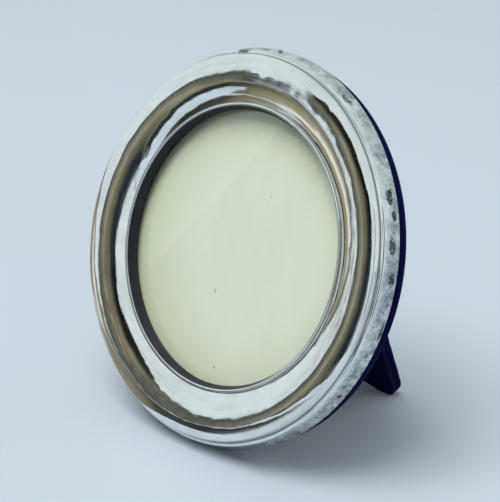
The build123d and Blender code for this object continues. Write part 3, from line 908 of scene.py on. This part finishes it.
def velvet_finish():
    """Deep navy velvet: black where the nap is looked into, mauve grey where it is worn and where sheen is
    painted along its edges.
    """
    material, tree, shader = finish_start("navy_velvet")
    place = used(tree, frame_place).outputs["Place"]
    # The stored worn value marks worn nap and also painted sheen along the edges.
    worn = put(tree, "ShaderNodeAttribute", attribute_name="worn").outputs["Fac"]
    laid = ranged(tree, cloud(tree, place, 0.22, 4.0, 0.6), 0.38, 0.68)
    pile = cloud(tree, place, 5.5, 3.0, 0.75)
    lint = ranged(tree, cloud(tree, place, 1.7, 5.0, 0.75), 0.69, 0.74)
    deep = mixed(tree, laid, (0.0010, 0.0012, 0.0300), (0.0020, 0.0024, 0.0560))
    colour = mixed(tree, ranged(tree, pile, 0.35, 0.75, 0.6), deep, (0.0006, 0.0007, 0.0200))
    # Paler mauve grey where the nap is worn, and painted sheen where the edges would catch the light.
    rubbed_nap_and_sheen = times(tree, worn, maths(tree, "MULTIPLY_ADD", pile, 1.6, -0.35))
    colour = mixed(tree, most(tree, times(tree, rubbed_nap_and_sheen, 0.55), 0.0), colour, (0.085, 0.07, 0.095))
    looks = {
        "Base Color": mixed(tree, times(tree, lint, 0.25), colour, (0.10, 0.10, 0.11)),
        "Roughness": 0.95,
        "Specular IOR Level": 0.04,
        "Sheen Weight": 0.05,
        "Sheen Roughness": 0.4,
        "Sheen Tint": (0.36, 0.36, 0.75, 1),
        "Normal": relief(tree, pile, 0.75, 0.12),
    }
    feed(tree, shader, looks)
    return material


navy_velvet = velvet_finish()


def nap_wear_and_sheen(piece, amount):
    """Stores how worn the nap is at each point, together with painted edge sheen, from a rule on the point in
    millimetres.
    """
    values = piece.data.attributes.new("worn", "FLOAT", "POINT")
    back = face_place.inverted()
    for index, vertex in enumerate(piece.data.vertices):
        values.data[index].value = amount(back @ vertex.co)


ring_out = 49.8
ring_bore = 39.2
velvet = 0.5
silver_back = -3.85
board_back = -7.7
velvet_back = -8.2
edge_wave = [(0.04 * math.sin(step * math.pi / 6), -0.25 - step * 0.5) for step in range(1, 6)]
ring_section = (
    [(ring_out - velvet, silver_back), (ring_out - 0.25, silver_back + 0.05), (ring_out, silver_back - 0.25)]
    + [(ring_out + out, silver_back + down) for out, down in edge_wave]
    + rounded((ring_out, silver_back), (ring_out, velvet_back), (ring_bore, velvet_back), 0.8, 9)
    + [(ring_out - 0.8 - step * 0.93, velvet_back) for step in range(1, 10)]
    + rounded((ring_out, velvet_back), (ring_bore, velvet_back), (ring_bore, silver_back), 0.5, 7)
    + [(ring_bore, velvet_back + 0.5 + step * 0.55) for step in range(1, 7)]
    + [(ring_bore, silver_back), (ring_bore + velvet, silver_back), (ring_bore + velvet, board_back)]
    + [(ring_out - velvet, board_back)]
)
ring_cover = section_piece(
    "velvet_ring_cover",
    ring_section,
    turned_sheet,
    {"Steps Round": 360, "Ripple": 0.05, "Ripple Size": 4.0, "Seed": 41.0, "Finish": navy_velvet},
    face_place,
)


def ring_wear_and_sheen(spot):
    """Worn, with painted sheen, along the rounded rear edge and a little at the bore's edge."""
    radius = math.hypot(spot.x, spot.y)
    outer = max(0.0, 1 - math.hypot(radius - ring_out, spot.z - velvet_back) / 1.3)
    inner = max(0.0, 1 - math.hypot(radius - ring_bore, spot.z - velvet_back) / 0.9)
    tucked = max(0.0, 1 - abs(spot.z - silver_back) / 0.35) * 0.5 if radius > ring_out - 1 else 0.0
    return max(outer, 0.6 * inner, tucked)


nap_wear_and_sheen(ring_cover, ring_wear_and_sheen)
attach(ring_cover, "frame")
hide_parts("back_ring_velvet")

# Back panel velvet: a disc of the same velvet stretched over the loose panel's back and edge.
# It is worn, with painted sheen, at its rim, and pressed flat under the hinge and the strut.
panel_out = 38.9
panel_front = -5.6
panel_section = (
    [(panel_out - velvet, panel_front), (panel_out - 0.2, panel_front + 0.02), (panel_out, panel_front - 0.2)]
    + [(panel_out, panel_front - 0.2 - step * 0.38) for step in range(1, 5)]
    + rounded((panel_out, panel_front), (panel_out, velvet_back), (0, velvet_back), 0.5, 8)
    + [(panel_out - 0.5 - step * 1.28, velvet_back) for step in range(1, 30)]
    + [(0.0, velvet_back), (0.0, board_back), (20.0, board_back)]
    + [(panel_out - velvet, board_back)]
)
panel_cover = section_piece(
    "velvet_panel_cover",
    panel_section,
    turned_sheet,
    {"Steps Round": 300, "Ripple": 0.04, "Ripple Size": 5.0, "Seed": 77.0, "Finish": navy_velvet},
    face_place,
)


def panel_wear_and_sheen(spot):
    """Worn, with painted sheen, along the panel's rear edge, and worn in the middle, where a hand opens the
    strut.
    """
    radius = math.hypot(spot.x, spot.y)
    edge = max(0.0, 1 - math.hypot(radius - panel_out, spot.z - velvet_back) / 1.2)
    hand = max(0.0, 1 - math.hypot(spot.x, spot.y + 22) / 12) * 0.35
    return max(edge, hand)


nap_wear_and_sheen(panel_cover, panel_wear_and_sheen)
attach(panel_cover, "frame")
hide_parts("back_panel_velvet")

# Hinge: two brass leaves with three knuckles on a steel pin, riveted to the panel and to the strut.
# The brass is dull brown, brighter in patches, finely scratched and spotted.
old_brass = metal_finish("old_brass", (0.62, 0.46, 0.19), (0.36, 0.25, 0.10), (0.09, 0.06, 0.03), 0.22)
for leaf in ("hinge_panel_leaf", "hinge_strut_leaf"):
    refinish(leaf, old_brass)
refinish("hinge_pin", dull_steel)

# Rivets: two domed brass rivets in each hinge leaf.
# Those of the panel have their heads on the leaf, and those of the strut on the velvet at its rear.
rivet_values = {
    "Head Radius": 1.3, "Head Height": 0.6, "Shank Radius": 0.6, "Shank Length": 2.9, "Seed": 5,
    "Finish": old_brass,
}
hinge_height = 29.0
rivet_half = 5.0
rivet_drop = 6.0
leaf_back = velvet_back - 0.7
panel_rivet_heads = heads_piece(
    "panel_rivet_heads",
    [((side * rivet_half, hinge_height + rivet_drop, leaf_back), (0.0, 0.0, -1.0)) for side in (-1, 1)],
    rivet_values,
    face_place,
)
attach(panel_rivet_heads, "frame")
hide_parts("panel_rivets")

hinge_lift = 1.8
strut_opening = math.radians(37.3)
hinge_point = face_place @ Vector((0.0, hinge_height, velvet_back - hinge_lift))
strut_place = (
    Matrix.Translation(hinge_point)
    @ Matrix.Rotation(face_turn - math.pi + strut_opening, 4, "X")
    @ Matrix.Rotation(math.pi, 4, "Z")
    @ Matrix.Scale(mm, 4)
)
strut_front = -0.7
strut_rear = 2.8
strut_rivet_heads = heads_piece(
    "strut_rivet_heads",
    [((side * rivet_half, -rivet_drop, strut_rear), (0.0, 0.0, 1.0)) for side in (-1, 1)],
    {**rivet_values, "Shank Length": 4.2, "Seed": 8},
    strut_place,
)
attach(strut_rivet_heads, "strut")
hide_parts("strut_rivets")

# Strut velvet: the same velvet glued all round the wooden tongue, with its ears beside the hinge,
# an arched foot and two toes that stand flat on the table.
# Its nap is rubbed, with painted sheen, along the edges and flattened under the toes.
strut_top_half = 15.9
strut_foot_half = 21.9
strut_ear = 1.92
strut_toe = -79.76
strut_arch = -75.76
notch_half = 8.75
notch_foot = -2.0
ear_rounding = 5.0
toe_rounding = 4.0


def arch_points(count):
    """Points of the foot's arch, from the right toe to the left one."""
    rise = strut_arch - strut_toe
    radius = (strut_foot_half**2 + rise**2) / (2 * rise)
    middle = strut_arch - radius
    end = math.asin(strut_foot_half / radius)
    turns = [end * (1 - 2 * step / (count - 1)) for step in range(count)]
    return [(radius * math.sin(turn), middle + radius * math.cos(turn)) for turn in turns]


arch = arch_points(25)
right_toe = (strut_foot_half, strut_toe)
left_toe = (-strut_foot_half, strut_toe)
right_ear = (strut_top_half, strut_ear)
left_ear = (-strut_top_half, strut_ear)
strut_outline = (
    rounded(right_ear, right_toe, arch[3], toe_rounding, 10)
    + arch[3:-3]
    + rounded(arch[-4], left_toe, left_ear, toe_rounding, 10)
    + rounded(left_toe, left_ear, (-notch_half, strut_ear), ear_rounding, 10)
    + [(-notch_half, strut_ear), (-notch_half, notch_foot), (notch_half, notch_foot), (notch_half, strut_ear)]
    + rounded((notch_half, strut_ear), right_ear, right_toe, ear_rounding, 10)
)


def plate(outline, low, high):
    """A flat plate between two levels, as a loose mesh to work on."""
    work = bmesh.new()
    face = work.faces.new([work.verts.new((x, y, low)) for x, y in outline])
    lifted = bmesh.ops.extrude_face_region(work, geom=[face])
    for vertex in lifted["geom"]:
        if isinstance(vertex, bmesh.types.BMVert):
            vertex.co.z = high
    bmesh.ops.recalc_face_normals(work, faces=work.faces)
    return work


def kept(work, name):
    """Turns a worked mesh into a piece of the scene."""
    mesh = bpy.data.meshes.new(name)
    work.to_mesh(mesh)
    work.free()
    return linked(name, mesh)


strut_cover = kept(plate(strut_outline, strut_front, strut_rear), "velvet_strut_cover")
wrapped = strut_cover.modifiers.new("wrapped", "REMESH")
wrapped.mode = "VOXEL"
wrapped.voxel_size = 0.42
wrapped.use_smooth_shade = True
softened = strut_cover.modifiers.new("softened", "SMOOTH")
softened.factor = 0.5
softened.iterations = 3
settle(strut_cover)
soft_mesh = strut_cover.data
nap = 0.05
outward = [vertex.normal.copy() for vertex in soft_mesh.vertices]
for vertex, normal in zip(soft_mesh.vertices, outward):
    vertex.co += normal * (noise.noise(vertex.co / 3.0) - 0.3) * nap
soft_mesh.transform(strut_place)
trimmed = bmesh.new()
trimmed.from_mesh(soft_mesh)
toe_level = 0.00002
bmesh.ops.bisect_plane(
    trimmed, geom=[*trimmed.verts, *trimmed.edges, *trimmed.faces],
    plane_co=(0, 0, toe_level), plane_no=(0, 0, -1), clear_outer=True,
)
bmesh.ops.holes_fill(trimmed, edges=[edge for edge in trimmed.edges if edge.is_boundary])
bmesh.ops.triangulate(trimmed, faces=[face for face in trimmed.faces if len(face.verts) > 4])
bmesh.ops.recalc_face_normals(trimmed, faces=trimmed.faces)
trimmed.to_mesh(soft_mesh)
trimmed.free()
soft_mesh.materials.clear()
soft_mesh.materials.append(navy_velvet)
strut_back = strut_place.inverted()
# The strut's paler edges are worn nap with painted sheen.
strut_wear_and_sheen = soft_mesh.attributes.new("worn", "FLOAT", "POINT")
for index, vertex in enumerate(soft_mesh.vertices):
    spot = strut_back @ vertex.co
    down = (strut_ear - spot.y) / (strut_ear - strut_toe)
    half = strut_top_half + (strut_foot_half - strut_top_half) * down
    edge = min(half - abs(spot.x), strut_ear - spot.y, spot.y - strut_toe)
    level = min(spot.z - strut_front, strut_rear - spot.z)
    strut_wear_and_sheen.data[index].value = max(0.0, 1 - math.hypot(max(edge, 0), max(level, 0)) / 1.1)
wall = strut_cover.modifiers.new("wall", "SOLIDIFY")
wall.thickness = 0.35 * mm
wall.offset = -1
settle(strut_cover)
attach(strut_cover, "strut")
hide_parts("strut_velvet")

# Turn buttons: four small brass plates, each loose on a screw in the ring, that reach over the panel's edge.
# Their corners are rubbed round.
ring_middle = 44.5
button_turns = {"upper_right": 42.0, "upper_left": 138.0, "lower_left": 198.0, "lower_right": -18.0}
button_hub = 2.6
button_tip = 1.7
button_reach = 6.4
button_low = velvet_back - 0.15
button_high = velvet_back - 0.95
tangent = math.acos((button_hub - button_tip) / button_reach)


def button_outline(count):
    """Hub and tip of a button joined by straight sides, with the tip towards the frame's middle."""
    hub_turns = [tangent + 2 * (math.pi - tangent) * step / (count - 1) for step in range(count)]
    tip_turns = [-tangent + 2 * tangent * step / (count - 1) for step in range(count)]
    hub = [(button_hub * math.cos(turn), button_hub * math.sin(turn)) for turn in hub_turns]
    tip = [(button_reach + button_tip * math.cos(turn), button_tip * math.sin(turn)) for turn in tip_turns]
    return hub + tip


for side, degrees in button_turns.items():
    work = plate(button_outline(20), button_high, button_low)
    rims = [edge for edge in work.edges if abs(edge.verts[0].co.z - edge.verts[1].co.z) < 0.01]
    bmesh.ops.bevel(work, geom=rims, offset=0.16, segments=3, affect="EDGES", profile=0.5)
    button = kept(work, "button_plate_" + side)
    for face in button.data.polygons:
        face.use_smooth = True
    turn = math.radians(degrees)
    spot = Vector((ring_middle * math.cos(turn), ring_middle * math.sin(turn), 0))
    button.data.transform(face_place @ Matrix.Translation(spot) @ Matrix.Rotation(turn + math.pi, 4, "Z"))
    button.data.materials.append(old_brass)
    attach(button, "button_" + side)
    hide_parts("turn_button_" + side)

# Turn button screws: four slotted round-head screws of the same old brass, one through each button.
# They are driven into the ring's board, and each slot has stopped at its own turn.
screw_turns = [math.radians(degrees) for degrees in button_turns.values()]
screw_seat = velvet_back - 1.0
screw_heads = heads_piece(
    "screw_heads",
    [
        ((ring_middle * math.cos(turn), ring_middle * math.sin(turn), screw_seat), (0.0, 0.0, -1.0))
        for turn in screw_turns
    ],
    {
        "Head Radius": 1.7, "Head Height": 0.7, "Shank Radius": 0.8, "Shank Length": 4.1, "Slotted": True,
        "Slot Width": 0.4, "Slot Depth": 0.35, "Seed": 21, "Finish": old_brass,
    },
    face_place,
)
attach(screw_heads, "frame")
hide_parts("turn_button_screws")

# Stage: a pale floor in a pale room, with soft light from above and in front.
# Screens and mats stand out of the picture, where only the polished silver and the glass see them.
pale_blue = (0.585, 0.65, 0.715, 1)
floor_mesh = bpy.data.meshes.new("floor")
floor_mesh.from_pydata([(-4, -4, 0), (4, -4, 0), (4, 4, 0), (-4, 4, 0)], [], [(0, 1, 2, 3)])
floor = linked("floor", floor_mesh)
pale_table, tree, shader = finish_start("pale_table")
feed(tree, shader, {"Base Color": pale_blue, "Roughness": 0.85})
floor.data.materials.append(pale_table)


def room_card(name, low_edge, high_edge, stops, dim_from=9.0):
    """A curved card that only mirrors see, coloured by its turn from the front and dim high up."""
    first, last = stops[0][0], stops[-1][0]
    points, faces = [], []
    for (start, start_high, _), (end, end_high, _) in zip(stops, stops[1:]):
        for step in range(6):
            turn = math.radians(start + (end - start) * step / 5)
            rise = start_high + (end_high - start_high) * step / 5
            for away, level in (low_edge, (high_edge[0], high_edge[1] * rise)):
                points.append((away * math.sin(turn), -away * math.cos(turn), level))
            if step:
                top = len(points)
                faces.append((top - 4, top - 2, top - 1, top - 3))
    mesh = bpy.data.meshes.new(name)
    mesh.from_pydata(points, [], faces)
    card = linked(name, mesh)
    material, tree, _ = finish_start(name)
    spot = put(tree, "ShaderNodeTexCoord").outputs["Object"]
    wobble = put(tree, "ShaderNodeTexNoise", {"Vector": spot, "Scale": 9.0, "Detail": 3.0})
    parts = put(tree, "ShaderNodeSeparateXYZ", {0: spot})
    ahead = times(tree, parts.outputs["Y"], -1.0)
    turn = maths(tree, "DEGREES", maths(tree, "ARCTAN2", parts.outputs["X"], ahead))
    turn = maths(tree, "ADD", turn, maths(tree, "MULTIPLY_ADD", wobble.outputs[0], 12.0, -6.0))
    ramp = put(tree, "ShaderNodeValToRGB", {0: ranged(tree, turn, first, last)})
    bands = ramp.color_ramp.elements
    while len(bands) > 1:
        bands.remove(bands[-1])
    for index, (degrees, _, colour) in enumerate(stops):
        at = (degrees - first) / (last - first)
        stop = bands[0] if index == 0 else bands.new(at)
        stop.position = at
        stop.color = (*colour, 1)
    dimmed = ranged(tree, parts.outputs["Z"], dim_from, dim_from + 0.12, 0.92)
    lit = maths(tree, "SUBTRACT", 1.0, dimmed)
    glow = put(tree, "ShaderNodeEmission", {"Color": ramp.outputs[0], "Strength": lit})
    tree.links.new(glow.outputs[0], tree.nodes["Material Output"].inputs["Surface"])
    mesh.materials.append(material)
    for ray in ("camera", "diffuse", "transmission", "volume_scatter", "shadow"):
        setattr(card, "visible_" + ray, False)


screen_stops = [
    (-47, 0.10, (0.40, 0.44, 0.44)),
    (-43, 0.35, (0.05, 0.06, 0.065)),
    (-38, 0.75, (0.16, 0.16, 0.12)),
    (-31, 0.95, (0.32, 0.305, 0.225)),
    (-24, 1.00, (0.19, 0.175, 0.12)),
    (-17, 0.96, (0.13, 0.125, 0.09)),
    (-9, 0.85, (0.03, 0.036, 0.04)),
    (-1, 0.70, (0.014, 0.02, 0.028)),
    (5, 0.50, (0.06, 0.07, 0.075)),
    (10, 0.20, (0.46, 0.51, 0.51)),
]
room_card("far_screen", (0.7, 0.0), (0.7, 0.66), screen_stops, 0.33)
foot_stops = [
    (-46, 1.0, (0.10, 0.10, 0.075)),
    (-38, 1.0, (0.03, 0.035, 0.035)),
    (-4, 1.0, (0.02, 0.026, 0.032)),
    (6, 1.0, (0.30, 0.33, 0.34)),
]
room_card("dark_mat", (0.27, 0.001), (0.48, 0.002), foot_stops)
strip_stops = [
    (-50, 1.0, (0.30, 0.29, 0.21)),
    (-12, 1.0, (0.17, 0.165, 0.12)),
    (6, 1.0, (0.04, 0.045, 0.05)),
]
room_card("olive_strip", (0.48, 0.001), (0.7, 0.002), strip_stops)
threshold_stops = [
    (-85, 1.0, (0.60, 0.64, 0.66)),
    (-72, 1.0, (0.28, 0.27, 0.21)),
    (-55, 1.0, (0.20, 0.18, 0.13)),
    (-44, 1.0, (0.06, 0.06, 0.05)),
    (-20, 1.0, (0.03, 0.035, 0.035)),
    (-2, 1.0, (0.10, 0.11, 0.11)),
    (12, 1.0, (0.55, 0.60, 0.62)),
]
room_card("dark_threshold", (0.026, 0.001), (0.13, 0.0015), threshold_stops)
mat_stops = [
    (-125, 1.0, (0.60, 0.65, 0.62)),
    (-104, 1.0, (0.40, 0.42, 0.33)),
    (-88, 1.0, (0.30, 0.29, 0.20)),
    (-76, 1.0, (0.34, 0.29, 0.20)),
    (-69, 1.0, (0.90, 0.90, 0.84)),
    (-62, 1.0, (0.36, 0.35, 0.25)),
    (-52, 1.0, (0.25, 0.24, 0.16)),
    (-45, 1.0, (0.10, 0.10, 0.07)),
]
room_card("olive_mat", (0.14, 0.001), (0.9, 0.002), mat_stops)
skirting_stops = [
    (-125, 1.0, (0.14, 0.16, 0.15)),
    (-46, 1.0, (0.05, 0.055, 0.05)),
]
room_card("low_skirting", (0.9, 0.0), (0.9, 0.025), skirting_stops)
near_stops = [
    (30, 1.0, (0.60, 0.66, 0.65)),
    (36, 1.0, (0.05, 0.055, 0.06)),
    (50, 1.0, (0.03, 0.032, 0.04)),
    (58, 1.0, (0.08, 0.085, 0.09)),
    (64, 1.0, (0.60, 0.66, 0.65)),
]
room_card("near_screen", (0.8, 0.0), (0.8, 0.75), near_stops)

world = bpy.data.worlds.new("pale_room")
bpy.context.scene.world = world
world.use_nodes = True
tree = world.node_tree
rays = put(tree, "ShaderNodeLightPath")
soft = tree.nodes["Background"]
feed(tree, soft, {"Color": (0.91, 0.97, 1.0, 1), "Strength": 0.55})
mirrored = put(tree, "ShaderNodeBackground", {"Color": (0.73, 0.80, 0.82, 1), "Strength": 1.0}).outputs[0]
seen = put(tree, "ShaderNodeBackground", {"Color": pale_blue, "Strength": 1.0}).outputs[0]
sharp = put(tree, "ShaderNodeMixShader", {0: rays.outputs["Is Glossy Ray"], 1: soft.outputs[0], 2: mirrored})
whole = put(tree, "ShaderNodeMixShader", {0: rays.outputs["Is Camera Ray"], 1: sharp.outputs[0], 2: seen})
tree.links.new(whole.outputs[0], tree.nodes["World Output"].inputs["Surface"])

lamp_data = bpy.data.lights.new("soft_window", "AREA")
lamp_data.energy = 27.0
lamp_data.size = 1.2
lamp = linked("soft_window", lamp_data)
lamp.location = centre + Vector((-0.05, -0.74, 1.84))
lamp.rotation_mode = "QUATERNION"
lamp.rotation_quaternion = (centre - lamp.location).to_track_quat("-Z", "Y")
lamp.visible_glossy = False

camera_data = bpy.data.cameras.new("camera")
camera_data.sensor_width = 36
camera_data.lens = 114.79
camera = linked("camera", camera_data)
camera.location = (0.267556, -0.252738, 0.194625)
camera.rotation_euler = (math.radians(90 - 21.3333), 0, math.radians(44.7603))
bpy.context.scene.camera = camera
bpy.context.scene.view_settings.view_transform = "Standard"
